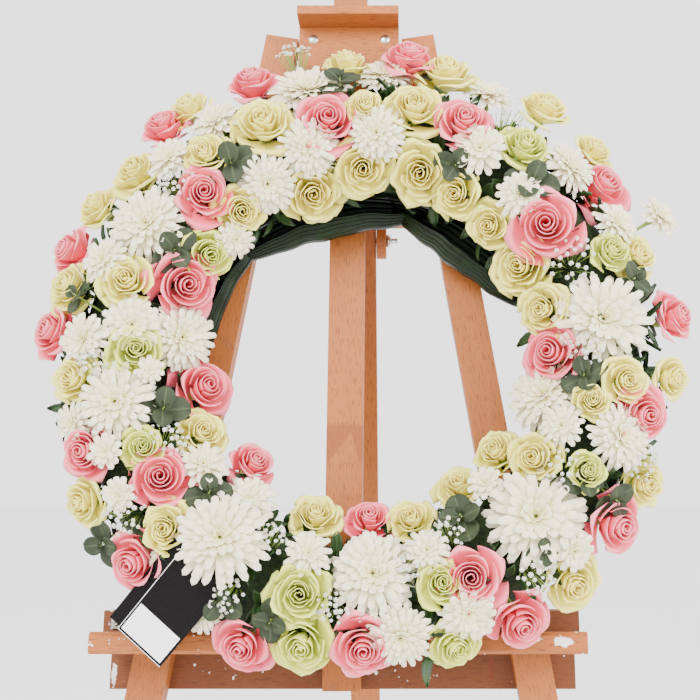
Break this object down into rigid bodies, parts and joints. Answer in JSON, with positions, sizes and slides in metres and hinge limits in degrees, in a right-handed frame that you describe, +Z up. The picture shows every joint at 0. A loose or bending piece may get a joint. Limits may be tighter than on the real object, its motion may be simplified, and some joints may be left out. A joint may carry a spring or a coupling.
{
  "type": "funeral wreath on an easel",
  "caption": "Round funeral wreath of pink roses, cream spray roses and white chrysanthemums, standing in the tray of a folding wooden easel with a sliding mast.",
  "frame": {"origin": "on the floor, below the middle of the bounding box", "axes": "+Z up, the wreath faces -Y and the rear leg reaches back along +Y, +X is the viewer's right"},
  "size_m": [0.654, 0.6692, 1.5699],
  "materials": {
    "beech": "satin oiled, with paint specks",
    "steel": "polished",
    "pink_petals": "soft petals",
    "cream_petals": "soft petals",
    "dark_leaves": "glossy leaf",
    "black_card": "coated",
    "ring_plastic": "moulded",
    "floral_foam": "wet foam"
  },
  "bodies": {
    "frame": {"leg_left": "beech", "leg_right": "beech", "yoke": "beech", "mast_strap": "steel", "hinge_ear_left": "beech", "hinge_ear_right": "beech", "hinge_bolt": "steel"},
    "mast": {"mast": "beech", "rear_board": "beech", "tray_back": "beech", "tray_floor": "beech", "tray_lip": "beech", "tray_bolt_left": "steel", "tray_bolt_right": "steel", "ring_base": "ring_plastic", "foam_ring": "floral_foam", "pink_rose_01": "pink_petals", "pink_rose_02": "pink_petals", "pink_rose_03": "pink_petals", "pink_rose_04": "pink_petals", "pink_rose_05": "pink_petals", "pink_rose_06": "pink_petals", "pink_rose_07": "pink_petals", "pink_rose_08": "pink_petals", "pink_rose_09": "pink_petals", "pink_rose_10": "pink_petals", "pink_rose_11": "pink_petals", "pink_rose_12": "pink_petals", "pink_rose_13": "pink_petals", "pink_rose_14": "pink_petals", "pink_rose_15": "pink_petals", "pink_rose_16": "pink_petals", "pink_rose_17": "pink_petals", "pink_rose_18": "pink_petals", "pink_rose_19": "pink_petals", "pink_rose_20": "pink_petals", "pink_rose_21": "pink_petals", "pink_rose_22": "pink_petals", "pink_rose_23": "pink_petals", "pink_rose_24": "pink_petals", "pink_rose_25": "pink_petals", "mixed_flowers_right": "cream_petals", "mixed_flowers_upper_right": "cream_petals", "mixed_flowers_top": "cream_petals", "mixed_flowers_upper_left": "cream_petals", "mixed_flowers_left": "cream_petals", "mixed_flowers_lower_left": "cream_petals", "mixed_flowers_bottom": "cream_petals", "mixed_flowers_lower_right": "cream_petals", "wrap_leaf_left": "dark_leaves", "wrap_leaf_top": "dark_leaves", "wrap_leaf_upper_right": "dark_leaves", "card_front": "black_card", "card_rear": "black_card"},
    "holder": {"holder_plate": "beech", "holder_rear_plate": "beech", "holder_ledge": "beech", "holder_bolt_left": "steel", "holder_bolt_right": "steel"},
    "rear_leg": {"leg_rear": "beech"}
  },
  "joints": [
    {"name": "mast_slide", "type": "slide", "parent": "frame", "child": "mast", "axis": [0, 0.2164, 0.9763], "range_m": [-0.05, 0.15]},
    {"name": "holder_slide", "type": "slide", "parent": "mast", "child": "holder", "axis": [0, 0.2164, 0.9763], "range_m": [0, 0.12]},
    {"name": "rear_leg_hinge", "type": "hinge", "parent": "frame", "child": "rear_leg", "pos_m": [0.01, -0.00935, 1.19903], "axis": [-1, 0, 0], "range_deg": [0, 28]}
  ]
}
